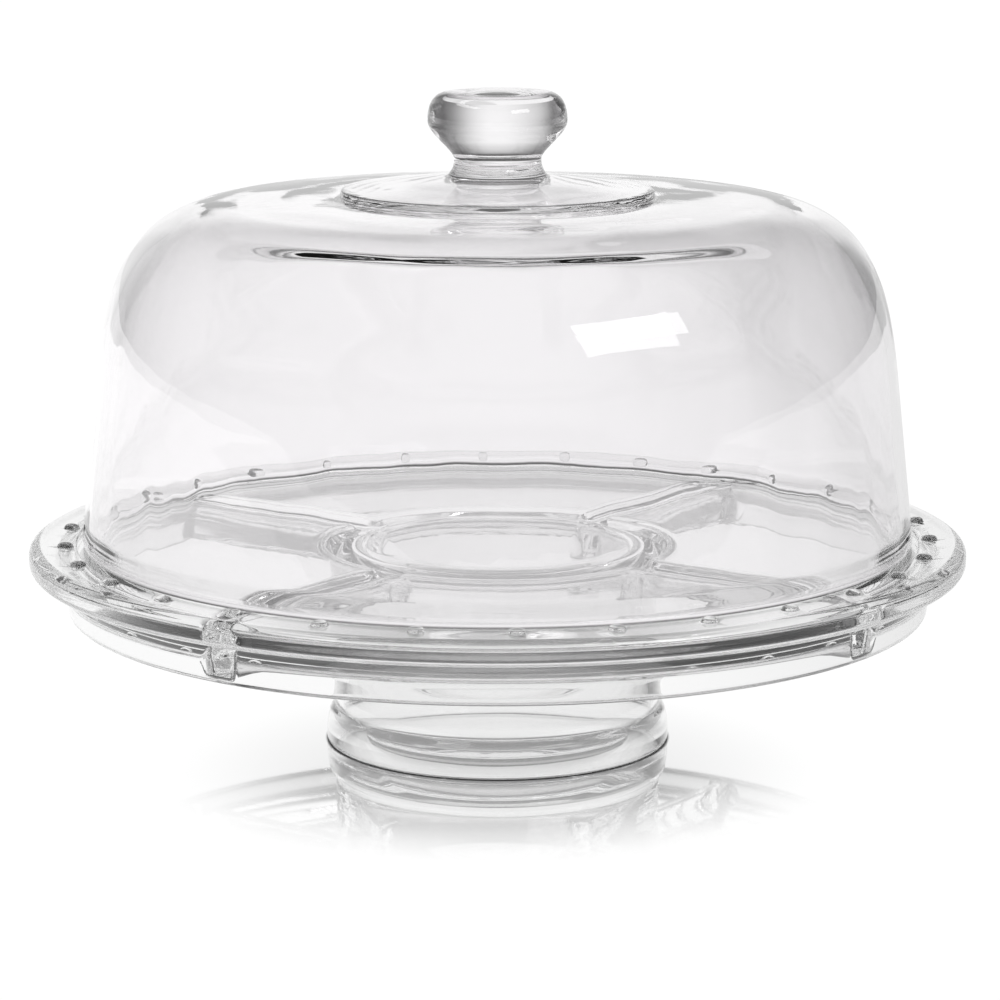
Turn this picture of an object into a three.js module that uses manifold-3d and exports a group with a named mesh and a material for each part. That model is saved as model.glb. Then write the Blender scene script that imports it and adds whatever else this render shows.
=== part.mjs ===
// A clear pressed-glass cake stand with a lift-off dome.
//
// Upright, the stand is a footed cake plate. Turned over, it is a serving tray: the foot
// becomes a dip bowl, and the wall and the four dividers under the plate make four
// compartments around it. The dome turns over too, as a bowl, and the disc under its knob
// then drops into the mouth of the foot.
//
// Units are millimetres and +Z is up. The origin is on the table, on the stand's axis, and
// each outline's x is a radius and its y a height above the table.

import * as THREE from "three";
import { mergeVertices } from "three/addons/utils/BufferGeometryUtils.js";
import Module from "manifold-3d";

const wasm = await Module();
wasm.setup();

// ---- Driving dimensions ----------------------------------------------------------------

const PLATE_RADIUS = 165; // the rim, which sets the width of the whole object
const PLATE_TOP = 72.6; // the round field that the cake stands on
const PLATE_THICKNESS = 5.1;
const RECESS_DEPTH = 1; // the field lies this far below the rim, which keeps the dome in place
const RECESS_RADIUS = 148.6;
const RIM_THICKNESS = 8.6;
const RIM_EDGE_ROUND = 3.4;

const BEAD_COUNT = 30;
const BEAD_CIRCLE = 152.2; // radius of the ring of beads
const BEAD_RADIUS = 3;
const BEAD_HEIGHT = 2.4;

const WALL_OUTER_TOP = 153.6; // the tray wall hangs from the rim and narrows to its edge
const WALL_OUTER_EDGE = 151.6;
const WALL_INNER_TOP = 149.4;
const WALL_INNER_EDGE = 148.2;
const WALL_EDGE_HEIGHT = 49.5;
const WALL_EDGE_ROUND = 1.8;

const DIVIDER_COUNT = 4;
const FIRST_DIVIDER = Math.PI / 4; // so that the compartments face along the axes
const DIVIDER_ROOT_WIDTH = 14;
const DIVIDER_EDGE_WIDTH = 7;
const DIVIDER_EDGE_HEIGHT = 51;
const DIVIDER_EDGE_ROUND = 1.5;

const FOOT_RADIUS = 61; // its widest, just above the table
const FOOT_WIDEST_HEIGHT = 2.4;
const FOOT_NECK_RADIUS = 57.8;
const FOOT_TOP_RADIUS = 59.6;
const FOOT_MOUTH_RADIUS = 55.8;
const FOOT_FLAT_START = 56.4; // the flat ring that the stand rests on
const FOOT_FLAT_END = 59.4;
const BOWL_RADIUS = 51.6; // the inside of the foot, at mid height
const BOWL_FLOOR_RADIUS = 40;

const DOME_BASE_RADIUS = 146.5;
const DOME_GAP = 0.3; // between the dome's edge and the plate
const DOME_WALL = 4;
const DOME_LIP_WALL = 5.2; // the rolled edge at the bottom is thicker than the wall
const DOME_LIP_HEIGHT = 7;
const SHOULDER_RADIUS = 140.3; // where the wall starts to curve in
const SHOULDER_HEIGHT = 130;
const CROWN_RADIUS = 98; // where the nearly flat crown starts
const CROWN_HEIGHT = 192.4;
const CROWN_SLOPE = 0.09;
const DOME_TOP = 194.9; // the flat seat of the knob's disc

const DISC_RADIUS = 55; // fits into the foot's mouth when the dome is used as a bowl
const DISC_THICKNESS = 1.8;
const NECK_RADIUS = 15;
const NECK_HEIGHT = 204.6;
const KNOB_RADIUS = 24.4;
const KNOB_WIDEST_HEIGHT = 221;
const KNOB_TOP_RADIUS = 19;
const KNOB_TOP = 231;

const GLASS_GAP = 0.3; // between pieces of the stand that meet on an upright face

const WIDE_SEGMENTS = 60; // round the plate and the dome
const FOOT_SEGMENTS = 48;
const KNOB_SEGMENTS = 36;
const BEAD_SEGMENTS = 10;

const RIM_TOP = PLATE_TOP + RECESS_DEPTH;
const RIM_UNDERSIDE = RIM_TOP - RIM_THICKNESS;
const PLATE_UNDERSIDE = PLATE_TOP - PLATE_THICKNESS;

// ---- Materials -------------------------------------------------------------------------

function standGlass() {
  return new THREE.MeshStandardMaterial({
    color: 0xe9eeee, roughness: 0.03, metalness: 0, transparent: true, opacity: 0.35,
  });
}

function domeGlass() {
  return new THREE.MeshStandardMaterial({
    color: 0xeff2f3, roughness: 0.02, metalness: 0, transparent: true, opacity: 0.35,
  });
}

// ---- Helpers ---------------------------------------------------------------------------

// Revolves an outline about +Z. The outline runs anticlockwise round the glass, and closes
// on itself or starts and ends on the axis. Each curved stretch is cut into curveSteps.
function revolve(outline, segments, curveSteps) {
  const geometry = new THREE.LatheGeometry(outline.getPoints(curveSteps), segments);
  return geometry.rotateX(Math.PI / 2);
}

// A closed three.js geometry as a manifold solid.
function toSolid(geometry) {
  const bare = geometry.clone();
  bare.deleteAttribute("normal");
  bare.deleteAttribute("uv");
  const merged = mergeVertices(bare, 1e-3);
  return new wasm.Manifold(new wasm.Mesh({
    numProp: 3,
    vertProperties: new Float32Array(merged.attributes.position.array),
    triVerts: new Uint32Array(merged.index.array),
  }));
}

// A manifold solid as a three.js geometry.
function toGeometry(solid) {
  const mesh = solid.getMesh();
  const geometry = new THREE.BufferGeometry();
  geometry.setAttribute("position", new THREE.BufferAttribute(mesh.vertProperties, 3));
  geometry.setIndex(new THREE.BufferAttribute(mesh.triVerts, 1));
  geometry.computeVertexNormals();
  return geometry;
}

function piece(name, geometry, material) {
  const mesh = new THREE.Mesh(geometry, material);
  mesh.name = name;
  return mesh;
}

// ---- The stand -------------------------------------------------------------------------

// The round field that the cake stands on.
function cakePlate() {
  const radius = RECESS_RADIUS - GLASS_GAP;
  const outline = new THREE.Path();
  outline.moveTo(0, PLATE_UNDERSIDE);
  outline.lineTo(radius, PLATE_UNDERSIDE);
  outline.lineTo(radius, PLATE_TOP);
  outline.lineTo(0, PLATE_TOP);
  return revolve(outline, WIDE_SEGMENTS, 1);
}

// The rim without its beads: flat on top and rounded over at its outer edge.
function rimBand() {
  const stepLean = 0.8; // the step down to the field leans out, so that it leaves its mould
  const outline = new THREE.Path();
  outline.moveTo(RECESS_RADIUS, RIM_UNDERSIDE);
  outline.lineTo(PLATE_RADIUS - RIM_EDGE_ROUND, RIM_UNDERSIDE);
  outline.quadraticCurveTo(
    PLATE_RADIUS, RIM_UNDERSIDE, PLATE_RADIUS, RIM_UNDERSIDE + RIM_EDGE_ROUND,
  );
  outline.lineTo(PLATE_RADIUS, RIM_TOP - RIM_EDGE_ROUND);
  outline.quadraticCurveTo(PLATE_RADIUS, RIM_TOP, PLATE_RADIUS - RIM_EDGE_ROUND, RIM_TOP);
  outline.lineTo(RECESS_RADIUS + stepLean, RIM_TOP);
  outline.lineTo(RECESS_RADIUS, PLATE_TOP);
  outline.lineTo(RECESS_RADIUS, RIM_UNDERSIDE);
  return revolve(outline, WIDE_SEGMENTS, 4);
}

// One bead, centred on the axis: a low dome of glass whose base is buried in the rim.
function bead() {
  const buried = 0.8;
  const outline = new THREE.Path();
  outline.moveTo(0, RIM_TOP - buried);
  outline.lineTo(BEAD_RADIUS, RIM_TOP - buried);
  outline.lineTo(BEAD_RADIUS, RIM_TOP);
  outline.bezierCurveTo(
    BEAD_RADIUS, RIM_TOP + BEAD_HEIGHT * 0.55,
    BEAD_RADIUS * 0.55, RIM_TOP + BEAD_HEIGHT,
    0, RIM_TOP + BEAD_HEIGHT,
  );
  return revolve(outline, BEAD_SEGMENTS, 3);
}

function beadedRim() {
  let glass = toSolid(rimBand());
  for (let i = 0; i < BEAD_COUNT; i++) {
    const angle = (i * 2 * Math.PI) / BEAD_COUNT;
    const x = BEAD_CIRCLE * Math.sin(angle);
    const y = -BEAD_CIRCLE * Math.cos(angle);
    glass = glass.add(toSolid(bead().translate(x, y, 0)));
  }
  return toGeometry(glass);
}

// The wall under the rim, which closes the tray when the stand is turned over.
function trayWall() {
  const edgeMiddle = (WALL_INNER_EDGE + WALL_OUTER_EDGE) / 2;
  const roundStart = WALL_EDGE_HEIGHT + WALL_EDGE_ROUND;
  const outline = new THREE.Path();
  outline.moveTo(WALL_INNER_TOP, RIM_UNDERSIDE);
  outline.lineTo(WALL_INNER_EDGE, roundStart);
  outline.quadraticCurveTo(WALL_INNER_EDGE, WALL_EDGE_HEIGHT, edgeMiddle, WALL_EDGE_HEIGHT);
  outline.quadraticCurveTo(WALL_OUTER_EDGE, WALL_EDGE_HEIGHT, WALL_OUTER_EDGE, roundStart);
  outline.lineTo(WALL_OUTER_TOP, RIM_UNDERSIDE);
  outline.lineTo(WALL_INNER_TOP, RIM_UNDERSIDE);
  return revolve(outline, WIDE_SEGMENTS, 3);
}

// Adds the outside of the foot to an outline, from the table up to the plate. A value of
// grow moves it outwards.
function addFootOutside(outline, grow) {
  const widest = FOOT_RADIUS + grow;
  const neck = FOOT_NECK_RADIUS + grow;
  outline.lineTo(FOOT_FLAT_END + grow, 0);
  outline.quadraticCurveTo(widest, 0, widest, FOOT_WIDEST_HEIGHT);
  outline.bezierCurveTo(widest - 0.2, 9, neck, 16, neck, 54);
  outline.lineTo(FOOT_TOP_RADIUS + grow, PLATE_UNDERSIDE);
}

// The foot: a deep ring with rounded lips. The plate closes it at the top, so that turned
// over it is a bowl.
function footBowl() {
  const middle = 36;
  const outline = new THREE.Path();
  outline.moveTo(FOOT_FLAT_START, 0);
  addFootOutside(outline, 0);
  outline.lineTo(BOWL_FLOOR_RADIUS, PLATE_UNDERSIDE);
  outline.bezierCurveTo(
    BOWL_FLOOR_RADIUS + 9, PLATE_UNDERSIDE - 1, BOWL_RADIUS, PLATE_UNDERSIDE - 13,
    BOWL_RADIUS, middle,
  );
  outline.bezierCurveTo(BOWL_RADIUS, middle - 16, FOOT_MOUTH_RADIUS, 10, FOOT_MOUTH_RADIUS, 1);
  outline.lineTo(FOOT_FLAT_START, 0);
  return revolve(outline, FOOT_SEGMENTS, 5);
}

// The ring of space between the foot and the tray wall, which the dividers fill.
function dividerSpace() {
  const inside = new THREE.Path();
  inside.moveTo(0, 0);
  addFootOutside(inside, GLASS_GAP);
  inside.lineTo(0, PLATE_UNDERSIDE);
  const outside = new THREE.Path();
  outside.moveTo(0, WALL_EDGE_HEIGHT);
  outside.lineTo(WALL_INNER_EDGE - GLASS_GAP, WALL_EDGE_HEIGHT);
  outside.lineTo(WALL_INNER_EDGE - GLASS_GAP, WALL_EDGE_HEIGHT + WALL_EDGE_ROUND);
  outside.lineTo(RECESS_RADIUS - GLASS_GAP, RIM_UNDERSIDE - 6);
  outside.lineTo(RECESS_RADIUS - GLASS_GAP, PLATE_UNDERSIDE);
  outside.lineTo(0, PLATE_UNDERSIDE);
  const ring = toSolid(revolve(outside, WIDE_SEGMENTS, 1));
  return ring.subtract(toSolid(revolve(inside, FOOT_SEGMENTS, 5)));
}

// A divider: a bar of tapered section, cut to the curves of the foot and of the wall.
function divider(space, angle) {
  const root = DIVIDER_ROOT_WIDTH / 2;
  const edge = DIVIDER_EDGE_WIDTH / 2;
  const roundStart = DIVIDER_EDGE_HEIGHT + DIVIDER_EDGE_ROUND;
  const section = new THREE.Shape();
  section.moveTo(-root, PLATE_UNDERSIDE);
  section.lineTo(-edge, roundStart);
  section.quadraticCurveTo(-edge, DIVIDER_EDGE_HEIGHT, 0, DIVIDER_EDGE_HEIGHT);
  section.quadraticCurveTo(edge, DIVIDER_EDGE_HEIGHT, edge, roundStart);
  section.lineTo(root, PLATE_UNDERSIDE);
  section.closePath();
  const bar = new THREE.ExtrudeGeometry(section, {
    depth: PLATE_RADIUS, bevelEnabled: false, curveSegments: 3,
  });
  bar.rotateX(Math.PI / 2); // the section now stands upright, and the bar runs along -Y
  bar.rotateZ(angle);
  return toGeometry(toSolid(bar).intersect(space));
}

function stand() {
  const group = new THREE.Group();
  group.add(piece("cake_plate", cakePlate(), standGlass()));
  group.add(piece("beaded_rim", beadedRim(), standGlass()));
  group.add(piece("tray_wall", trayWall(), standGlass()));
  group.add(piece("foot_bowl", footBowl(), standGlass()));
  const space = dividerSpace();
  for (let i = 0; i < DIVIDER_COUNT; i++) {
    const angle = FIRST_DIVIDER + (i * 2 * Math.PI) / DIVIDER_COUNT;
    group.add(piece(`tray_divider_${i + 1}`, divider(space, angle), standGlass()));
  }
  return group;
}

// ---- The dome --------------------------------------------------------------------------

// The bell: a wall that leans in a little, a round shoulder and an almost flat crown. The
// inside follows the outside, and the bottom edge is rolled thicker.
function domeShell() {
  const base = PLATE_TOP + DOME_GAP;
  const lean = (DOME_BASE_RADIUS - SHOULDER_RADIUS) / (SHOULDER_HEIGHT - base);
  const lipTop = base + DOME_LIP_HEIGHT;
  const lipOuter = DOME_BASE_RADIUS - lean * DOME_LIP_HEIGHT;
  const lipInner = DOME_BASE_RADIUS - DOME_LIP_WALL;
  const lipMiddle = DOME_BASE_RADIUS - DOME_LIP_WALL / 2;
  const lipRound = 2.4;
  const rise = 25; // how far the shoulder keeps the wall's direction
  const run = 35.5; // how far it keeps the crown's direction
  const tighten = 0.9; // the inside's shoulder is this much tighter than the outside's
  const underside = DOME_TOP - DOME_WALL;
  const innerRadius = SHOULDER_RADIUS - DOME_WALL;
  const innerCrown = CROWN_HEIGHT - DOME_WALL;
  const crownBend = 75; // radius at which the crown's slope runs out
  const outline = new THREE.Path();
  outline.moveTo(0, underside);
  outline.lineTo(DISC_RADIUS, underside);
  outline.quadraticCurveTo(crownBend, underside, CROWN_RADIUS, innerCrown);
  outline.bezierCurveTo(
    CROWN_RADIUS + run * tighten, innerCrown - CROWN_SLOPE * run * tighten,
    innerRadius - lean * rise * tighten, SHOULDER_HEIGHT + rise * tighten,
    innerRadius, SHOULDER_HEIGHT,
  );
  outline.lineTo(lipOuter - DOME_WALL, lipTop);
  outline.lineTo(lipInner, base + lipRound);
  outline.quadraticCurveTo(lipInner, base, lipMiddle, base);
  outline.quadraticCurveTo(DOME_BASE_RADIUS, base, DOME_BASE_RADIUS, base + lipRound);
  outline.lineTo(lipOuter, lipTop);
  outline.lineTo(SHOULDER_RADIUS, SHOULDER_HEIGHT);
  outline.bezierCurveTo(
    SHOULDER_RADIUS - lean * rise, SHOULDER_HEIGHT + rise,
    CROWN_RADIUS + run, CROWN_HEIGHT - CROWN_SLOPE * run,
    CROWN_RADIUS, CROWN_HEIGHT,
  );
  outline.quadraticCurveTo(crownBend, DOME_TOP, DISC_RADIUS, DOME_TOP);
  outline.lineTo(0, DOME_TOP);
  return revolve(outline, WIDE_SEGMENTS, 6);
}

// The knob: a solid mushroom of glass that flares at its base into a thin disc.
function domeKnob() {
  const discTop = DOME_TOP + DISC_THICKNESS;
  const discRound = 2.4;
  const flareRadius = 26;
  const flareTop = discTop + 0.8;
  const outline = new THREE.Path();
  outline.moveTo(0, DOME_TOP);
  outline.lineTo(DISC_RADIUS, DOME_TOP);
  outline.quadraticCurveTo(DISC_RADIUS, discTop, DISC_RADIUS - discRound, discTop);
  outline.lineTo(flareRadius, flareTop);
  outline.bezierCurveTo(
    NECK_RADIUS + 4, flareTop + 0.6, NECK_RADIUS, NECK_HEIGHT - 4, NECK_RADIUS, NECK_HEIGHT,
  );
  outline.bezierCurveTo(
    NECK_RADIUS, NECK_HEIGHT + 6.6, KNOB_RADIUS, KNOB_WIDEST_HEIGHT - 8.5,
    KNOB_RADIUS, KNOB_WIDEST_HEIGHT,
  );
  outline.bezierCurveTo(
    KNOB_RADIUS, KNOB_WIDEST_HEIGHT + 5, KNOB_TOP_RADIUS + 3, KNOB_TOP - 2.6,
    KNOB_TOP_RADIUS, KNOB_TOP - 2,
  );
  outline.quadraticCurveTo(KNOB_TOP_RADIUS / 2, KNOB_TOP, 0, KNOB_TOP);
  return revolve(outline, KNOB_SEGMENTS, 5);
}

function dome() {
  const group = new THREE.Group();
  group.add(piece("dome_shell", domeShell(), domeGlass()));
  group.add(piece("dome_knob", domeKnob(), domeGlass()));
  return group;
}

// ---- The whole object ------------------------------------------------------------------

const cakeStand = new THREE.Group();
cakeStand.add(stand(), dome());

export default cakeStand;
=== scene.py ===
# %% [markdown]
# # A pressed-glass cake stand with a lift-off dome
#
# The object is two pieces of clear glass that come apart: a dome with a knob, and a footed
# stand with a beaded rim. Turned over, the stand is a snack tray with four compartments and
# a dip bowl in the middle.
#
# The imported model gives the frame: where each body is and how it moves. We keep its size,
# and replace its faceted shapes with smooth ones. Clear glass needs that more than any other
# material, because light bends at every surface and shows each facet twice.

import math

import bmesh
import bpy
import numpy as np
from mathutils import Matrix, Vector


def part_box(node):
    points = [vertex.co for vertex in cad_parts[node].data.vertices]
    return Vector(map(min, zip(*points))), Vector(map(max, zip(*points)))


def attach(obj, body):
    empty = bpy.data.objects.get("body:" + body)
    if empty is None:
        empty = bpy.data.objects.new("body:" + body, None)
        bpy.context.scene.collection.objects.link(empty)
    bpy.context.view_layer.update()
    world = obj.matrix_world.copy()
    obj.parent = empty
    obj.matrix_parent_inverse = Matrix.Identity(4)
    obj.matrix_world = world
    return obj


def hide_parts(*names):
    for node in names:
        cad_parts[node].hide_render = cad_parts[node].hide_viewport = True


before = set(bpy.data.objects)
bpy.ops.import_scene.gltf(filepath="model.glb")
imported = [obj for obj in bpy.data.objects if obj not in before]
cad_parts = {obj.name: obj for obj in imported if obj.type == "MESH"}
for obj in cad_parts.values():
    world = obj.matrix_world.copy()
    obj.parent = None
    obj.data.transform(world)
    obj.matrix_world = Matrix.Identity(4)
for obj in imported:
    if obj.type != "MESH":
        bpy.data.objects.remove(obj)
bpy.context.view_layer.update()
MM = 0.001

plate_low, plate_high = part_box("cake_plate")
rim_low, rim_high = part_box("beaded_rim")
wall_low, wall_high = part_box("tray_wall")
foot_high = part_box("foot_bowl")[1]
shell_low, shell_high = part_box("dome_shell")
knob_low, knob_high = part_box("dome_knob")
print("rim radius, mm:", round(rim_high[0] / MM, 2), " knob top, mm:", round(knob_high[2] / MM, 2))


# %% [markdown]
# ## Drawing outlines
#
# Every round piece starts as an outline: half of its section, from the axis outwards, with
# the radius first and the height second. Two small tools draw one. `rounded` takes the
# corners of a shape, each with the radius that rounds it off. `bezier` draws a free curve
# between two points, pulled towards two more. Lengths are in millimetres until a mesh is
# made.

# %% Outline tools
def bezier(start, pull_a, pull_b, end, steps):
    """Points along a cubic curve, both ends included."""
    t = np.linspace(0.0, 1.0, steps + 1)[:, None]
    start, pull_a, pull_b, end = (np.array(p, float) for p in (start, pull_a, pull_b, end))
    return ((1 - t) ** 3 * start + 3 * (1 - t) ** 2 * t * pull_a
            + 3 * (1 - t) * t ** 2 * pull_b + t ** 3 * end)


def rounded(corners, spacing=2.5, arc_steps=6):
    """An open outline through corners (radius, height, rounding), filled in along its lines."""
    corners = [np.array(c, float) for c in corners]
    points = [corners[0][:2]]
    for before, corner, after in zip(corners, corners[1:], corners[2:]):
        here, rounding = corner[:2], corner[2]
        back = (before[:2] - here) / np.linalg.norm(before[:2] - here)
        on = (after[:2] - here) / np.linalg.norm(after[:2] - here)
        if rounding == 0:
            points.append(here)
            continue
        half_angle = math.acos(np.clip(back @ on, -1, 1)) / 2
        reach = rounding / math.tan(half_angle)
        centre = here + (back + on) / np.linalg.norm(back + on) * rounding / math.sin(half_angle)
        first = here + back * reach - centre
        last = here + on * reach - centre
        turn = math.atan2(first[0] * last[1] - first[1] * last[0], first @ last)
        for step in range(arc_steps + 1):
            angle = turn * step / arc_steps
            spin = np.array([[math.cos(angle), -math.sin(angle)], [math.sin(angle), math.cos(angle)]])
            points.append(centre + spin @ first)
    points.append(corners[-1][:2])
    return fill_in(np.array(points), spacing)


def fill_in(points, spacing):
    """Adds points along an outline, so that none are further apart than the spacing."""
    filled = [points[0]]
    for start, end in zip(points, points[1:]):
        count = max(1, math.ceil(np.linalg.norm(end - start) / spacing))
        for step in range(1, count + 1):
            filled.append(start + (end - start) * step / count)
    return np.array(filled)


def join(*stretches):
    """One outline from several, without the points that they share."""
    points = [stretches[0][0]]
    for stretch in stretches:
        for point in stretch:
            if np.linalg.norm(point - points[-1]) > 1e-4:
                points.append(point)
    return np.array(points)


print("a corner rounded by 4 mm:", len(rounded([(0, 0, 0), (10, 0, 4), (10, 10, 0)])), "points")


# %% [markdown]
# ## Adding nodes
#
# Node trees, for shapes and for materials alike, are built with one small function. It adds a
# node, sets its properties, and fills its inputs: with a value, or with a link where it is
# given a node or a socket. An input is named with an underscore for each space. Where several
# inputs share a name, its place is used instead: `i0` is the first.

# %% A node helper
def add(tree, kind, settings=None, **inputs):
    """Adds a node. Settings are its properties. Inputs are values, or nodes or sockets to link."""
    node = tree.nodes.new(kind)
    for name, value in (settings or {}).items():
        setattr(node, name, value)
    for name, value in inputs.items():
        key = int(name[1:]) if name[0] == "i" and name[1:].isdigit() else name.replace("_", " ")
        if isinstance(value, bpy.types.Node):
            value = value.outputs[0]
        if isinstance(value, bpy.types.NodeSocket):
            tree.links.new(value, node.inputs[key])
        else:
            node.inputs[key].default_value = value
    return node


def new_tree(name, sockets):
    """A Geometry Nodes tree with named inputs and one geometry output."""
    tree = bpy.data.node_groups.new(name, "GeometryNodeTree")
    tree.interface.new_socket("Geometry", in_out="OUTPUT", socket_type="NodeSocketGeometry")
    for label, kind in sockets:
        tree.interface.new_socket(label, in_out="INPUT", socket_type=kind)
    return tree


MATH = "ShaderNodeMath"
VECTORS = "ShaderNodeVectorMath"
RAMP = "ShaderNodeMapRange"
PLUS, MINUS, TIMES = ({"operation": name} for name in ("ADD", "SUBTRACT", "MULTIPLY"))
LENGTH, ALONG = ({"operation": name} for name in ("LENGTH", "DOT_PRODUCT"))
SMOOTH = {"interpolation_type": "SMOOTHSTEP"}

revolve_tree = new_tree("revolve_glass_outline", [
    ("Outline", "NodeSocketGeometry"), ("Segments", "NodeSocketInt"),
    ("Wall Streak Height", "NodeSocketFloat"), ("Ring Height", "NodeSocketFloat"),
    ("Sag Radius", "NodeSocketFloat"), ("Sag Height", "NodeSocketFloat"),
    ("Seed", "NodeSocketFloat"), ("Glass", "NodeSocketMaterial"),
])
print("inputs of the revolve tree:", len(revolve_tree.interface.items_tree) - 1)


# %% [markdown]
# ## How uneven hot glass is
#
# A hot mould never leaves a perfect surface, and that unevenness is what makes real glass
# shimmer. `unevenness` moves the surface in and out by a fifth of a millimetre or less: long
# streaks up and down the walls, and rings on the flat parts. Both come from noise with a
# fixed seed.
#
# `sag` is one larger flaw. The dome's ceiling sank a little at the front while it was soft, and
# that left a shallow ledge inside, about a third of the way round. The ledge bends the view
# sharply, and shows as one dark line under the crown.

# %% Unevenness and sag
STREAK_STRETCH = (1, 1, 0.16)  # streaks are about six times as tall as they are wide
STREAK_WIDTH = 0.020  # metres, as are all sizes in a tree
RING_STRETCH = 0.35
RING_WIDTH = 0.016
WALL_TILT, FLAT_TILT = 0.45, 0.9  # how far a normal points up on a wall, and on a flat part
FRONT = (-0.144, -0.990, 0)
SAG_WIDTH = 0.0066
SAG_TAIL = 0.012  # beyond the ledge, the ceiling comes back down over this distance
SAG_SIDE_START, SAG_SIDE_FULL = 0.60, 0.97  # cosines of the angle from the front
SAG_WAVE_WIDTH, SAG_WAVE_DEPTH = 0.034, 1.6


def wave(tree, place, seed, wavelength):
    """A smooth unevenness between -0.5 and 0.5."""
    noise = add(tree, "ShaderNodeTexNoise", {"noise_dimensions": "4D"}, Vector=place, W=seed,
                Scale=1 / wavelength, Detail=1.0)
    return add(tree, MATH, MINUS, i0=noise, i1=0.5)


def unevenness(tree, given, place, normal_z, radius):
    """How far the surface moves along its normal."""
    upright = add(tree, MATH, {"operation": "ABSOLUTE"}, i0=normal_z)
    flat = add(tree, RAMP, SMOOTH, Value=upright, From_Min=WALL_TILT, From_Max=FLAT_TILT)
    steep = add(tree, MATH, MINUS, i0=1.0, i1=flat)
    stretched = add(tree, VECTORS, TIMES, i0=place, i1=STREAK_STRETCH)
    streaks = wave(tree, stretched, given["Seed"], STREAK_WIDTH)
    round_about = add(tree, VECTORS, TIMES, i0=place, i1=(RING_STRETCH, RING_STRETCH, 0))
    outwards = add(tree, "ShaderNodeCombineXYZ", Z=radius)
    ring_place = add(tree, VECTORS, PLUS, i0=round_about, i1=outwards)
    rings = wave(tree, ring_place, given["Seed"], RING_WIDTH)
    streak_height = add(tree, MATH, TIMES, i0=streaks, i1=given["Wall Streak Height"])
    ring_height = add(tree, MATH, TIMES, i0=rings, i1=given["Ring Height"])
    on_wall = add(tree, MATH, TIMES, i0=steep, i1=streak_height)
    on_flat = add(tree, MATH, TIMES, i0=flat, i1=ring_height)
    return add(tree, MATH, PLUS, i0=on_wall, i1=on_flat)


def sag(tree, given, place, normal_z, radius):
    """How far the ceiling is raised just outside the ledge. Elsewhere it is zero."""
    past = add(tree, MATH, MINUS, i0=radius, i1=given["Sag Radius"])
    rise = add(tree, RAMP, SMOOTH, Value=past, From_Min=-SAG_WIDTH / 2, From_Max=SAG_WIDTH / 2)
    fall = add(tree, RAMP, SMOOTH, Value=past, From_Min=SAG_WIDTH / 2,
               From_Max=SAG_WIDTH / 2 + SAG_TAIL, To_Min=1.0, To_Max=0.0)
    forwards = add(tree, VECTORS, ALONG, i0=place, i1=FRONT).outputs["Value"]
    facing = add(tree, MATH, {"operation": "DIVIDE"}, i0=forwards, i1=radius)
    side = add(tree, RAMP, SMOOTH, Value=facing, From_Min=SAG_SIDE_START,
               From_Max=SAG_SIDE_FULL)
    # The swept skin is still inside out here, so on the ceiling its normals point up.
    inner = add(tree, RAMP, SMOOTH, Value=normal_z, From_Min=0.02, From_Max=0.10)
    waves = wave(tree, place, given["Seed"], SAG_WAVE_WIDTH)
    wavy = add(tree, MATH, {"operation": "MULTIPLY_ADD"}, i0=waves, i1=SAG_WAVE_DEPTH, i2=1.0)
    height = add(tree, MATH, TIMES, i0=given["Sag Height"], i1=wavy)
    for factor in (rise, fall, side, inner):
        height = add(tree, MATH, TIMES, i0=height, i1=factor)
    return height


print("sag: a ledge", SAG_WIDTH / MM, "mm wide, then", SAG_TAIL / MM, "mm back to the ceiling")


# %% [markdown]
# ## Geometry Nodes: revolving an outline
#
# Glass like this is pressed in a round iron mould, so its shape follows one rule: an outline
# turned about an axis. In Geometry Nodes, Curve to Mesh sweeps the outline round a circle.
# The outline is first moved out to the circle, so that the points on the axis land on one
# spot, and Merge by Distance welds them into a closed pole.

# %% The revolve tree
GUIDE_RADIUS = 1.0
WELD = 2e-6


def fill_revolve_tree(tree):
    given = add(tree, "NodeGroupInput").outputs
    circle = add(tree, "GeometryNodeCurvePrimitiveCircle", Resolution=given["Segments"],
                 Radius=GUIDE_RADIUS)
    moved = add(tree, "GeometryNodeTransform", Geometry=given["Outline"],
                Translation=(-GUIDE_RADIUS, 0, 0), Scale=(1, -1, 1))
    swept = add(tree, "GeometryNodeCurveToMesh", Curve=circle, Profile_Curve=moved)
    closed = add(tree, "GeometryNodeMergeByDistance", Geometry=swept, Distance=WELD)
    place = add(tree, "GeometryNodeInputPosition")
    normal = add(tree, "GeometryNodeInputNormal")
    normal_z = add(tree, "ShaderNodeSeparateXYZ", Vector=normal).outputs["Z"]
    level = add(tree, VECTORS, TIMES, i0=place, i1=(1, 1, 0))
    radius = add(tree, VECTORS, LENGTH, i0=level).outputs["Value"]
    uneven = add(tree, VECTORS, {"operation": "SCALE"}, i0=normal,
                 Scale=unevenness(tree, given, place, normal_z, radius))
    raised = add(tree, "ShaderNodeCombineXYZ", Z=sag(tree, given, place, normal_z, radius))
    offset = add(tree, VECTORS, PLUS, i0=uneven, i1=raised)
    shaped = add(tree, "GeometryNodeSetPosition", Geometry=closed, Offset=offset)
    smooth = add(tree, "GeometryNodeSetShadeSmooth", Geometry=shaped)
    solid = add(tree, "GeometryNodeRealizeInstances", Geometry=smooth)
    glazed = add(tree, "GeometryNodeSetMaterial", Geometry=solid, Material=given["Glass"])
    add(tree, "NodeGroupOutput", Geometry=glazed)


fill_revolve_tree(revolve_tree)
print("revolve tree:", len(revolve_tree.nodes), "nodes")


# %% [markdown]
# A tree does nothing until a modifier carries it. `run_tree` puts one on, sets its inputs by
# their identifiers, and turns the result into a plain mesh. The carrier is then thrown away.
# `tidy_mesh` merges what is left double, turns every face outwards and prints what it measured.

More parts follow.
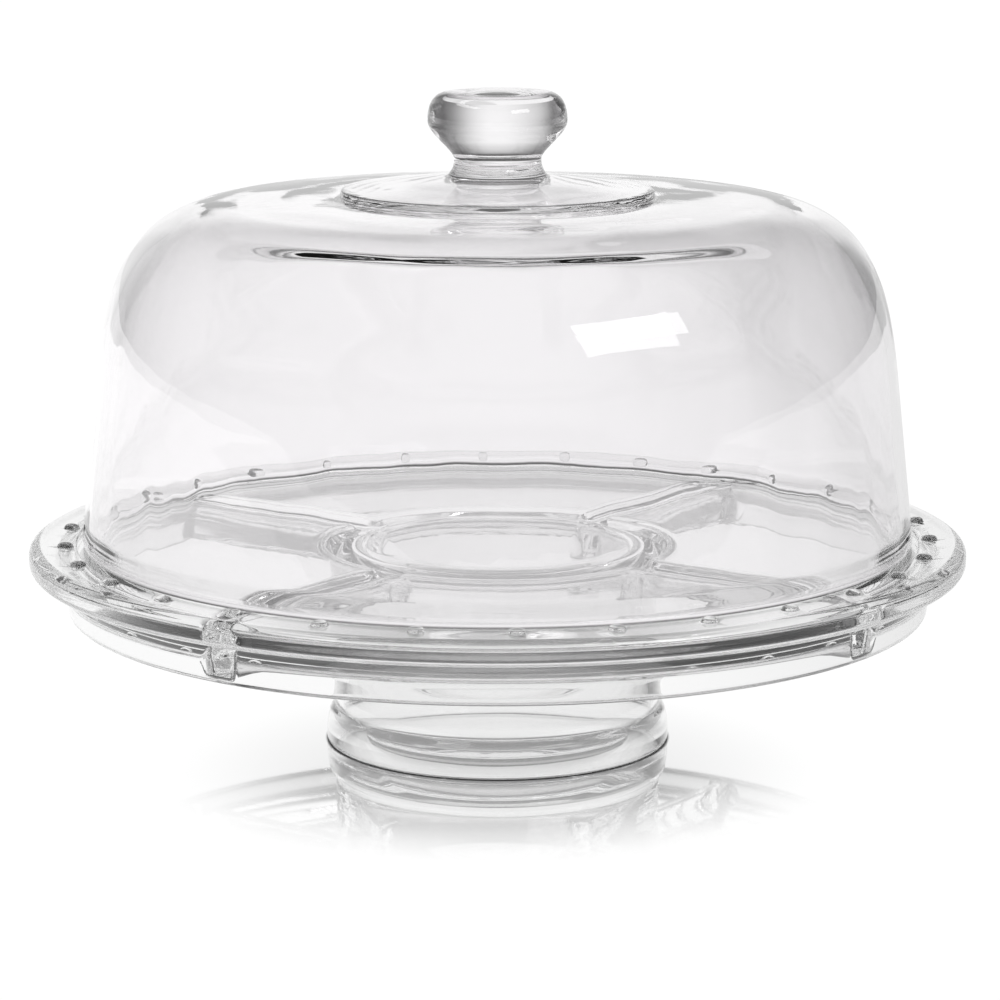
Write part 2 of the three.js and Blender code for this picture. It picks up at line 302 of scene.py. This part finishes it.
# %% Running a tree
def run_tree(carrier, tree, values, name):
    """Runs a Geometry Nodes tree on an object, and returns the result as a plain object."""
    modifier = carrier.modifiers.new("tree", "NODES")
    modifier.node_group = tree
    for item in tree.interface.items_tree:
        if item.in_out == "INPUT" and item.name in values:
            modifier[item.identifier] = values[item.name]
    bpy.context.view_layer.update()
    shown = carrier.evaluated_get(bpy.context.evaluated_depsgraph_get())
    mesh = bpy.data.meshes.new_from_object(shown)
    mesh.name = name
    bpy.data.objects.remove(carrier)
    return place_object(name, mesh)


def place_object(name, data):
    thing = bpy.data.objects.new(name, data)
    bpy.context.scene.collection.objects.link(thing)
    return thing


def outline_carrier(points):
    """A curve object, in metres, that draws an outline given in millimetres."""
    curve = bpy.data.curves.new("outline", "CURVE")
    curve.dimensions = "3D"
    spline = curve.splines.new("POLY")
    spline.points.add(len(points) - 1)
    for point, (radius, height) in zip(spline.points, points):
        point.co = (radius * MM, height * MM, 0, 1)
    return place_object("outline", curve)


def tidy_mesh(thing):
    work = bmesh.new()
    work.from_mesh(thing.data)
    bmesh.ops.remove_doubles(work, verts=work.verts, dist=1e-6)
    bmesh.ops.recalc_face_normals(work, faces=work.faces)
    volume = work.calc_volume(signed=True)
    open_edges = sum(1 for edge in work.edges if not edge.is_manifold)
    work.to_mesh(thing.data)
    work.free()
    triangles = sum(len(face.vertices) - 2 for face in thing.data.polygons)
    print(f"{thing.name}: {triangles} triangles, {volume * 1e6:.1f} cm3, open edges {open_edges}")


# %% [markdown]
# ## The glass
#
# The real material is soda-lime glass, pressed and then fire-polished, which melts the
# surface smooth. Its refractive index is about 1.52. It has no colour to speak of, only a
# trace of grey. Ripples a few millimetres across, where it chilled against the mould, tell it
# from a perfect computer glass. They are too shallow to model, so a bump draws them. On the
# dome they are drawn out upwards, as it was blown. On the stand they run round it in fine
# rings, left by the turned mould.

# %% Glass materials
def srgb(code):
    """An sRGB hex code as linear values."""
    parts = [int(code[i:i + 2], 16) / 255 for i in (1, 3, 5)]
    return [p / 12.92 if p <= 0.04045 else ((p + 0.055) / 1.055) ** 2.4 for p in parts] + [1.0]


def pressed_glass(name, tint, ripple_mm, ripple_height_mm, stretch, ringed):
    """Clear fire-polished glass. A small stretch lengthens its ripples along that axis.

    Ringed is 1 for ripples that change across the rings round the axis, and 0 for none.
    """
    material = bpy.data.materials.new(name)
    material.use_nodes = True
    tree = material.node_tree
    tree.nodes.clear()
    place = add(tree, "ShaderNodeTexCoord").outputs["Object"]
    stretched = add(tree, "ShaderNodeMapping", Vector=place, Scale=stretch)
    level = add(tree, VECTORS, TIMES, i0=place, i1=(1, 1, 0))
    radius = add(tree, VECTORS, LENGTH, i0=level).outputs["Value"]
    across = add(tree, MATH, TIMES, i0=radius, i1=ringed)
    ripples = add(tree, "ShaderNodeTexNoise", {"noise_dimensions": "4D"}, Vector=stretched,
                  W=across, Scale=1 / (ripple_mm * MM), Detail=1.5, Roughness=0.45)
    bump = add(tree, "ShaderNodeBump", Height=ripples, Strength=1.0,
               Distance=ripple_height_mm * MM)
    shader = add(tree, "ShaderNodeBsdfPrincipled", Base_Color=srgb(tint), Roughness=0.0,
                 IOR=1.52, Transmission_Weight=1.0, Normal=bump)
    add(tree, "ShaderNodeOutputMaterial", Surface=shader)
    return material


dome_glass = pressed_glass("pressed_soda_lime_glass_dome", "#FDFCFD", 9, 0.02,
                           stretch=(1, 1, 0.3), ringed=0.0)
stand_glass = pressed_glass("pressed_soda_lime_glass_stand", "#F7F7F7", 3.2, 0.008,
                            stretch=(0.12, 0.12, 1), ringed=1.0)
print("glasses:", dome_glass.name, "and", stand_glass.name)


# %% [markdown]
# ## The dome
#
# The dome is blown or pressed as a bell, and the knob is a gather of hot glass stuck to its
# crown. Once fused there is no seam, so both are one solid here: one outline runs up the
# inside from the axis, round the rolled lip, and back over the outside and the knob. An
# inner face left between the two would show as a mirror.
#
# The inside is the outside moved in and down, so the two surfaces stay nearly parallel and the
# glass doesn't act as a lens. The disc under the knob rises gently to the neck, and the ceiling
# rises with it.

# %% Dome outline
base = shell_low[2] / MM
crown_top = knob_low[2] / MM - 1.0
knob_top = knob_high[2] / MM
lip_radius = shell_high[0] / MM - 0.15
disc_radius = knob_high[0] / MM - 0.1

SHOULDER = np.array([140.2, 130.0])
CROWN = np.array([98.0, 192.2])
CROWN_SLOPE = 0.09
LEAN = (lip_radius - SHOULDER[0]) / (SHOULDER[1] - base)
WALL_IN = 4.3  # the inside is the outside moved in by this much, and down by the next
CROWN_DOWN = 3.7
DISC_EDGE = crown_top + 2.4
DISC_TOP = DISC_EDGE + 4.3
NECK_FOOT = 19.0
NECK_RADIUS = 15.2
NECK_HEIGHT = knob_top - 24.2
KNOB_RADIUS = 24.3
KNOB_MIDDLE = knob_top - 11.0
KNOB_EDGE = (18.4, knob_top - 1.1)


def bell_outline():
    """The outside of the bell, from the top of its wall to the disc."""
    shoulder = bezier(SHOULDER, SHOULDER + (-LEAN * 25, 25), CROWN + (35.5, -35.5 * CROWN_SLOPE),
                      CROWN, 60)
    crown = bezier(CROWN, CROWN - (16, -16 * CROWN_SLOPE), (76, crown_top - 0.1),
                   (disc_radius + 1.5, crown_top), 14)
    return join(shoulder, crown)


def knob_outline():
    """The disc, the waisted neck and the knob, up to the axis."""
    disc = rounded([
        (disc_radius + 1.5, crown_top, 0), (disc_radius, crown_top + 0.1, 0.4),
        (disc_radius - 0.5, DISC_EDGE, 1.0), (NECK_FOOT, DISC_TOP, 0),
    ], spacing=2.5)
    neck = bezier((NECK_FOOT, DISC_TOP), (NECK_RADIUS + 1.6, DISC_TOP + 0.3),
                  (NECK_RADIUS, NECK_HEIGHT - 3.2), (NECK_RADIUS, NECK_HEIGHT), 14)
    cap = bezier((NECK_RADIUS, NECK_HEIGHT), (NECK_RADIUS, NECK_HEIGHT + 3.2),
                 (KNOB_RADIUS, KNOB_MIDDLE - 4.6), (KNOB_RADIUS, KNOB_MIDDLE), 18)
    edge = bezier((KNOB_RADIUS, KNOB_MIDDLE), (KNOB_RADIUS, KNOB_MIDDLE + 5.6),
                  (22.6, knob_top - 2.0), KNOB_EDGE, 12)
    top = bezier(KNOB_EDGE, (12, knob_top - 0.2), (6, knob_top - 0.1), (0, knob_top - 0.1), 8)
    return join(disc, neck, cap, edge, top)


def dome_outline():
    bell = bell_outline()
    under = (bell - (WALL_IN, CROWN_DOWN))[::-1]
    hollow = under[0][1]
    ceiling = fill_in(np.array([(0, hollow + 5.0), (16, hollow + 4.6), under[0]]), 3)
    lip = rounded([
        (under[-1][0], under[-1][1], 0), (lip_radius - LEAN * 8 - WALL_IN, base + 8, 12),
        (lip_radius - 5.4, base + 3, 3), (lip_radius - 5.2, base, 2.2), (lip_radius, base, 2.4),
        (SHOULDER[0], SHOULDER[1], 0),
    ], spacing=3)
    return join(ceiling, under, lip, bell, knob_outline())


dome_points = dome_outline()
print("dome outline:", len(dome_points), "points, from", dome_points[0], "to", dome_points[-1])

# %% [markdown]
# The tree turns the outline into the dome, with streaks on its wall and rings on its crown. The
# sag sits inside the shoulder, where the ceiling starts to bend down.

# %% Make the dome
glass_dome = run_tree(outline_carrier(dome_points), revolve_tree, {
    "Segments": 288, "Wall Streak Height": 0.00034, "Ring Height": 0.00042,
    "Sag Radius": 0.1128, "Sag Height": 0.00195, "Seed": 3.0, "Glass": dome_glass,
}, "glass_dome")
tidy_mesh(glass_dome)


# %% [markdown]
# ## The stand
#
# The stand is one pressing: plate, rim, tray wall, dividers and foot leave the mould
# together. Its outline is turned about the axis too, but the dividers aren't round, so here
# the mesh is built directly: a grid with the outline's points one way and angles the other.
# Under the plate, each point of the grid is pulled down to the surface of the nearest
# divider. The grid then stays a single clean skin with no faces inside the glass, which a
# join of separate solids wouldn't give.
#
# The compartments have a sloping outer corner, easy to scoop from. Seen through the wall, that
# slope makes the dark band under the rim.

# %% Stand outline
rim_radius = rim_high[0] / MM - 0.05
plate_top = plate_high[2] / MM
plate_under = plate_low[2] / MM
rim_under = rim_low[2] / MM
rim_top = plate_top + 1.0
edge_height = wall_low[2] / MM + 0.05
wall_top_radius = wall_high[0] / MM
foot_radius = foot_high[0] / MM - 0.05
TRAY_TOP = 50.8  # below this height the wall and the foot are clear of the dividers
TRAY_RADIUS = 148.3
SCOOP_DEPTH = 10.0
SCOOP_RADIUS = 139.0
NECK = np.array([57.8, TRAY_TOP])
WAIST = 14.5  # height at which the foot starts to swell into its rolled lip
LIP_HEIGHT = 8.5
SOLE_HEIGHT = 2.4


def foot_outline():
    """The outside of the foot, from under the plate down to its sole."""
    above_waist = NECK + (0.2, WAIST - TRAY_TOP)
    lip = (foot_radius - 0.5, LIP_HEIGHT)
    return join(
        bezier(NECK, (NECK[0], 36), (NECK[0] - 0.2, 24), above_waist, 8),
        bezier(above_waist, (NECK[0] + 0.4, 12), (foot_radius - 1.3, 12.5), lip, 6),
        bezier(lip, (foot_radius, 6.5), (foot_radius, 4.5), (foot_radius, SOLE_HEIGHT), 4),
    )


def stand_outline():
    """Returns the outline, and which of its points lie inside the tray."""
    top = rounded([
        (0, plate_top, 0), (148.2, plate_top, 0.5), (148.8, rim_top, 0.5),
        (161.4, rim_top, 6), (rim_radius, rim_top - 1.8, 2.6), (rim_radius, rim_under, 3.2),
        (wall_top_radius, rim_under, 1.4), (151.5, edge_height, 1.7),
        (148.1, edge_height, 1.5), (TRAY_RADIUS, TRAY_TOP + 1.2, 0),
    ], spacing=6, arc_steps=7)
    tray = rounded([
        (TRAY_RADIUS, TRAY_TOP + 1.2, 0), (TRAY_RADIUS + 0.5, plate_under - SCOOP_DEPTH, 3.5),
        (SCOOP_RADIUS, plate_under, 7.0), (60.4, plate_under, 5.5), (NECK[0], NECK[1], 0),
    ], spacing=1.9, arc_steps=9)
    heel = rounded([
        (foot_radius, SOLE_HEIGHT, 0), (foot_radius - 0.1, 0, 1.6), (foot_radius - 5.0, 0, 1.4),
        (52.2, 30, 40), (51.6, plate_under - 0.4, 6), (0, plate_under - 0.4, 0),
    ], spacing=4, arc_steps=12)
    points = join(top, tray, foot_outline(), heel)
    in_tray = np.zeros(len(points), bool)
    first = np.argmin(np.linalg.norm(points - tray[0], axis=1))
    last = np.argmin(np.linalg.norm(points - tray[-1], axis=1))
    in_tray[first + 1:last] = True
    return points, in_tray


stand_points, in_tray = stand_outline()
print("stand outline:", len(stand_points), "points,", int(in_tray.sum()), "in the tray")

# %% [markdown]
# A divider's section is a tapered bar: narrow and rounded at its free edge, wide at the
# plate, with a generous fillet where it grows out of it. Hot glass won't fill a sharp inside
# corner, and a sharp one would crack. It widens in plan as well, where it meets the wall and
# the foot.

# %% Dividers
DIVIDER_EDGE = 51.0
DIVIDERS = 4
WALL_FACE, WALL_FILLET = 148.8, 4.5
FOOT_FACE, FOOT_FILLET = 58.5, 5.0
MELT = 1.0  # over this height the divider and the tray's skin melt into each other


def divider_section():
    """Half a divider's section: distance from its middle, and height."""
    return rounded([
        (0, DIVIDER_EDGE, 0), (3.0, DIVIDER_EDGE, 1.6), (6.4, plate_under, 3.5),
        (14, plate_under, 0),
    ], spacing=0.5, arc_steps=10)


def fillet_width(distance, reach):
    """How much a divider widens at a distance from the glass that it runs into."""
    near = np.clip(reach - distance, 0, reach)
    return reach - np.sqrt(reach ** 2 - near ** 2)


def pull_to_dividers(radius, height, angle, section):
    """The height of the tray's skin at a radius and an angle, with the dividers in it."""
    quarter = 2 * math.pi / DIVIDERS
    from_middle = (angle % quarter) - quarter / 2
    across = np.abs(radius * np.sin(from_middle))
    across = across - fillet_width(WALL_FACE - radius, WALL_FILLET)
    across = across - fillet_width(radius - FOOT_FACE, FOOT_FILLET)
    lowered = np.interp(np.clip(across, 0, None), section[:, 0], section[:, 1])
    blend = np.clip(0.5 + 0.5 * (lowered - height) / MELT, 0, 1)
    return lowered * (1 - blend) + height * blend - MELT * blend * (1 - blend)


print("divider:", len(divider_section()), "points across one half of its section")

# %% [markdown]
# The grid needs many angles across each divider, where its surface turns quickly, and few
# between two of them. Each step below is wider than the last as the divider is left behind.

# %% Build the stand's grid
def grid_angles():
    """Angles of the grid, close together across each divider."""
    steps = np.concatenate([np.arange(0, 4.2, 0.3), np.arange(4.2, 9, 0.6), np.arange(9, 16, 1.2)])
    steps = np.concatenate([-steps[:0:-1], steps])
    rest = np.linspace(16, 74, 30)
    one = np.radians(np.concatenate([steps + 45, rest + 45]))
    angles = np.concatenate([one + k * math.pi / 2 for k in range(DIVIDERS)])
    return np.unique(np.round(angles % (2 * math.pi), 9))


def turned_grid(name, points, in_tray, angles):
    """A closed mesh: one ring of points for each point of the outline off the axis."""
    section = divider_section()
    verts, rings = [], []
    for (radius, height), inside in zip(points, in_tray):
        if radius < 1e-6:
            rings.append([len(verts)])
            verts.append((0, 0, height * MM))
            continue
        heights = np.full(len(angles), height)
        if inside:
            heights = pull_to_dividers(radius, heights, angles, section)
        rings.append(range(len(verts), len(verts) + len(angles)))
        verts.extend((radius * math.sin(a) * MM, -radius * math.cos(a) * MM, h * MM)
                     for a, h in zip(angles, heights))
    faces = []
    for ring, other in zip(rings, rings[1:]):
        for i in range(len(angles)):
            j = (i + 1) % len(angles)
            corners = [ring[i % len(ring)], ring[j % len(ring)],
                       other[j % len(other)], other[i % len(other)]]
            faces.append(list(dict.fromkeys(corners)))
    mesh = bpy.data.meshes.new(name)
    mesh.from_pydata(verts, [], faces)
    mesh.shade_smooth()
    return place_object(name, mesh)


stand_body = turned_grid("stand_body", stand_points, in_tray, grid_angles())
tidy_mesh(stand_body)


# %% [markdown]
# ## The beads
#
# A ring of thirty low beads runs round the rim, just outside the dome. They are the same
# bead repeated round a circle, so Geometry Nodes place them: a bead on each point of a mesh
# circle. A boolean then fuses them with the rim, because a bead that only sat in the glass
# would keep a surface of its own inside it.

# %% One bead
BEADS = 30
BEAD_CIRCLE = 152.2
BEAD_ROOT = 0.9  # how deep a bead reaches into the rim
bead_outline = join(
    np.array([(0, -BEAD_ROOT), (3.3, -BEAD_ROOT), (3.3, -0.06)]),
    bezier((3.3, -0.06), (2.95, 0.0), (2.85, 0.1), (2.75, 0.5), 5),
    bezier((2.75, 0.5), (2.6, 1.4), (1.5, 1.8), (0, 1.8), 7),
)
bead = run_tree(outline_carrier(bead_outline), revolve_tree, {
    "Segments": 18, "Wall Streak Height": 0.0, "Ring Height": 0.0,
    "Sag Radius": 1.0, "Sag Height": 0.0, "Seed": 0.0, "Glass": stand_glass,
}, "rim_bead")
tidy_mesh(bead)

# %% [markdown]
# The bead tree takes the stand's mesh, and the bead as an object. The beads are only instances
# until Realize Instances makes them real, which the boolean needs.

# %% The bead tree
bead_tree = new_tree("fuse_beads_to_rim", [
    ("Stand", "NodeSocketGeometry"), ("Bead", "NodeSocketObject"), ("Count", "NodeSocketInt"),
    ("Circle Radius", "NodeSocketFloat"), ("Rim Height", "NodeSocketFloat"),
    ("Glass", "NodeSocketMaterial"),
])


def fill_bead_tree(tree):
    given = add(tree, "NodeGroupInput").outputs
    circle = add(tree, "GeometryNodeMeshCircle", Vertices=given["Count"],
                 Radius=given["Circle Radius"])
    lift = add(tree, "ShaderNodeCombineXYZ", Z=given["Rim Height"])
    lifted = add(tree, "GeometryNodeTransform", Geometry=circle, Translation=lift)
    shape = add(tree, "GeometryNodeObjectInfo", Object=given["Bead"]).outputs["Geometry"]
    beads = add(tree, "GeometryNodeInstanceOnPoints", Points=lifted, Instance=shape)
    real = add(tree, "GeometryNodeRealizeInstances", Geometry=beads)
    fused = add(tree, "GeometryNodeMeshBoolean", {"operation": "UNION", "solver": "MANIFOLD"})
    tree.links.new(given["Stand"], fused.inputs["Mesh 2"])
    tree.links.new(real.outputs["Geometry"], fused.inputs["Mesh 2"])
    smooth = add(tree, "GeometryNodeSetShadeSmooth", Geometry=fused)
    glazed = add(tree, "GeometryNodeSetMaterial", Geometry=smooth, Material=given["Glass"])
    add(tree, "NodeGroupOutput", Geometry=glazed)


fill_bead_tree(bead_tree)
print("bead tree:", len(bead_tree.nodes), "nodes")

# %% [markdown]
# With the beads fused on, the stand is finished. The loose bead isn't needed any more.

# %% Make the stand
glass_stand = run_tree(stand_body, bead_tree, {
    "Bead": bead, "Count": BEADS, "Circle Radius": BEAD_CIRCLE * MM, "Rim Height": rim_top * MM,
    "Glass": stand_glass,
}, "glass_stand")
bpy.data.objects.remove(bead)
tidy_mesh(glass_stand)


# %% [markdown]
# ## Riding the bodies
#
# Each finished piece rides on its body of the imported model, and stands for the nodes whose
# shape it takes over.

# %% Hand the pieces over
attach(glass_dome, "dome")
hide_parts("dome_shell", "dome_knob")
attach(glass_stand, "stand")
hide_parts("cake_plate", "beaded_rim", "tray_wall", "foot_bowl",
            *(f"tray_divider_{i + 1}" for i in range(DIVIDERS)))
print("pieces handed over:", glass_dome.name, "and", glass_stand.name)


# %% [markdown]
# ## The table
#
# Glass shows nothing of its own: all that we see is its surroundings, bent or mirrored. The
# table is a white acrylic sheet that glows. Around the foot its face is polished and
# mirrors the stand, and the polish fades away from there. Seen through the glass, the sheet
# gets dimmer to the right, a painted shade which gives the dome a darker side. Rays straight
# from the camera see it evenly white. A thin ring of painted contact shadow darkens the glow
# and the mirror where the foot's sole meets the sheet.

# %% Table
CAMERA_TURN = math.radians(-8.3)
AHEAD = Vector((-math.sin(CAMERA_TURN), math.cos(CAMERA_TURN), 0))
RIGHT = Vector((math.cos(CAMERA_TURN), math.sin(CAMERA_TURN), 0))
NEAR_MIRROR = 0.85
POLISH_CENTRE = Vector(FRONT) * 0.035
POLISH_FULL, POLISH_END = 0.038, 0.132  # metres from the polish's centre
TABLE_LIGHT = 1.03
# The sheet's glow dims to the right between DIM_START and DIM_END: painted shade, which gives the
# dome a darker side.
DIM_START, DIM_END, DIMMED = 0.03, 0.30, 0.78
# CONTACT_SHADE and the two sole radii below paint a contact shadow: a thin dark ring on the sheet's
# glow and on its mirror, where the foot's sole meets it.
CONTACT_SHADE = 0.10
SOLE_INNER = (0.0575, 0.0590)  # the dark ring fades in between these radii
SOLE_OUTER = (0.0604, 0.0618)  # and out between these
TABLE_REACH = 60.0


def glossy_white_acrylic():
    """White acrylic that glows, and is polished to a mirror round the foot. A painted contact shadow
    darkens it in a thin ring round the sole, and a painted shade dims its glow to the right.
    """
    material = bpy.data.materials.new("glossy_white_acrylic_table")
    material.use_nodes = True
    tree = material.node_tree
    tree.nodes.clear()
    place = add(tree, "ShaderNodeTexCoord").outputs["Object"]
    from_axis = add(tree, VECTORS, LENGTH, i0=place).outputs["Value"]
    from_polish = add(tree, VECTORS, {"operation": "DISTANCE"}, i0=place,
                      i1=POLISH_CENTRE).outputs["Value"]
    mirrored = add(tree, RAMP, SMOOTH, Value=from_polish, From_Min=POLISH_FULL,
                   From_Max=POLISH_END, To_Min=NEAR_MIRROR, To_Max=0.0)
    # Painted shade: rays that don't come straight from the camera see the glow dimmer to the right.
    rightward = add(tree, VECTORS, ALONG, i0=place, i1=RIGHT).outputs["Value"]
    dimmer = add(tree, RAMP, SMOOTH, Value=rightward, From_Min=DIM_START, From_Max=DIM_END,
                 To_Min=TABLE_LIGHT, To_Max=DIMMED * TABLE_LIGHT)
    seen = add(tree, "ShaderNodeLightPath").outputs["Is Camera Ray"]
    light = add(tree, "ShaderNodeMix", Factor=seen, A=dimmer, B=TABLE_LIGHT)
    # Painted contact shadow: a thin dark ring round the sole, which darkens both the glow and the
    # mirror.
    inside = add(tree, RAMP, SMOOTH, Value=from_axis, From_Min=SOLE_INNER[0],
                 From_Max=SOLE_INNER[1], To_Min=1.0, To_Max=CONTACT_SHADE)
    outside = add(tree, RAMP, SMOOTH, Value=from_axis, From_Min=SOLE_OUTER[0],
                  From_Max=SOLE_OUTER[1], To_Min=0.0, To_Max=1.0)
    painted_contact_shadow = add(tree, MATH, {"operation": "MAXIMUM"}, i0=inside, i1=outside)
    shaded = add(tree, MATH, TIMES, i0=light, i1=painted_contact_shadow)
    sheet = add(tree, "ShaderNodeEmission", Color=(1, 1, 1, 1), Strength=shaded)
    polish = add(tree, "ShaderNodeBsdfGlossy", Color=painted_contact_shadow, Roughness=0.03)
    both = add(tree, "ShaderNodeMixShader", i0=mirrored, i1=sheet, i2=polish)
    add(tree, "ShaderNodeOutputMaterial", Surface=both)
    return material


corners = [(-TABLE_REACH, -TABLE_REACH, 0), (TABLE_REACH, -TABLE_REACH, 0),
           (TABLE_REACH, TABLE_REACH, 0), (-TABLE_REACH, TABLE_REACH, 0)]
table_mesh = bpy.data.meshes.new("table")
table_mesh.from_pydata(corners, [], [(0, 1, 2, 3)])
table_mesh.materials.append(glossy_white_acrylic())
table = place_object("table", table_mesh)
print("table:", 2 * TABLE_REACH, "m square, polished", POLISH_END, "m round the foot")


# %% [markdown]
# ## The light
#
# For glass on white, a photographer puts a bright backdrop behind it and keeps the rest of the
# room dark. The edges of the glass bend the dark room into view, and that draws its outline.
# Here the world plays both: it is bright and low straight ahead, dim elsewhere, darkest
# overhead, and darker to the right than to the left. One softbox in front, to the right, puts
# a small highlight on the shoulder of the dome and on the knob.
#
# Light crosses many surfaces in this object, and glances off some from the inside. So the
# limits on its bounces are raised, or the beads and the dividers would turn black. The
# Standard view keeps white as white.

# %% Softbox and studio
BACKDROP = 0.98
ROOM = 0.21
CEILING = 0.12
RIGHT_DIM, LEFT_DIM = 0.38, 0.80
# Each pair below is where a change starts and ends, as the part of a direction that points up,
# ahead or to the right.
BACKDROP_TOP = (0.17, 0.52)
BACKDROP_SIDES = (0.70, 0.97)
ROOM_TOP = (0.20, 0.52)
TO_RIGHT = (0.06, 0.55)
TO_LEFT = (-0.40, -0.02)


def softbox(name, size, power, place, aim):
    """A soft rectangular lamp, in millimetres and watts, that points at a spot."""
    lamp = bpy.data.lights.new(name, "AREA")
    lamp.shape = "RECTANGLE"
    lamp.size, lamp.size_y = size[0] * MM, size[1] * MM
    lamp.energy = power
    thing = place_object(name, lamp)
    thing.location = Vector(place) * MM
    direction = thing.location - Vector(aim) * MM
    thing.rotation_euler = direction.to_track_quat("Z", "Y").to_euler()


def studio_world():
    world = bpy.data.worlds.new("studio")
    world.use_nodes = True
    sky = world.node_tree
    sky.nodes.clear()
    toward = add(sky, "ShaderNodeTexCoord").outputs["Generated"]
    height = add(sky, "ShaderNodeSeparateXYZ", Vector=toward).outputs["Z"]
    ahead = add(sky, VECTORS, ALONG, i0=toward, i1=AHEAD).outputs["Value"]
    rightward = add(sky, VECTORS, ALONG, i0=toward, i1=RIGHT).outputs["Value"]
    low = add(sky, RAMP, SMOOTH, Value=height, From_Min=BACKDROP_TOP[0],
              From_Max=BACKDROP_TOP[1], To_Min=BACKDROP - ROOM, To_Max=0.0)
    behind = add(sky, RAMP, SMOOTH, Value=ahead, From_Min=BACKDROP_SIDES[0],
                 From_Max=BACKDROP_SIDES[1])
    backdrop = add(sky, MATH, TIMES, i0=low, i1=behind)
    room = add(sky, RAMP, SMOOTH, Value=height, From_Min=ROOM_TOP[0], From_Max=ROOM_TOP[1],
               To_Min=ROOM, To_Max=CEILING)
    both = add(sky, MATH, PLUS, i0=backdrop, i1=room)
    right = add(sky, RAMP, SMOOTH, Value=rightward, From_Min=TO_RIGHT[0], From_Max=TO_RIGHT[1],
                To_Min=1.0, To_Max=RIGHT_DIM)
    left = add(sky, RAMP, SMOOTH, Value=rightward, From_Min=TO_LEFT[0], From_Max=TO_LEFT[1],
               To_Min=LEFT_DIM, To_Max=1.0)
    sides = add(sky, MATH, TIMES, i0=right, i1=left)
    strength = add(sky, MATH, TIMES, i0=both, i1=sides)
    glow = add(sky, "ShaderNodeBackground", Color=(1, 1, 1, 1), Strength=strength)
    add(sky, "ShaderNodeOutputWorld", Surface=glow)
    return world


softbox("front_softbox", size=(1050, 420), power=6, place=(935, -1436, 1209),
        aim=(40, -125, 166))
studio = bpy.context.scene
studio.world = studio_world()
studio.view_settings.view_transform = "Standard"
studio.cycles.max_bounces = 40
studio.cycles.transmission_bounces = 32
studio.cycles.glossy_bounces = 24
print("studio world:", len(studio.world.node_tree.nodes), "nodes")


# %% [markdown]
# ## The camera
#
# A long lens about 1.25 m away, a little above the dome, looking down on the plate.

# %% Camera
CAMERA_BACK = 1252
CAMERA_HEIGHT = 336
PITCH = math.radians(11.3)

camera_data = bpy.data.cameras.new("camera")
camera_data.lens = 129.9
camera_data.sensor_width = 36
camera_data.shift_x = 0.0025
camera = place_object("camera", camera_data)
camera.location = (CAMERA_BACK * math.sin(CAMERA_TURN) * MM,
                   -CAMERA_BACK * math.cos(CAMERA_TURN) * MM, CAMERA_HEIGHT * MM)
camera.rotation_euler = (math.pi / 2 - PITCH, 0, CAMERA_TURN)
bpy.context.scene.camera = camera
print("camera:", [round(value, 3) for value in camera.location])
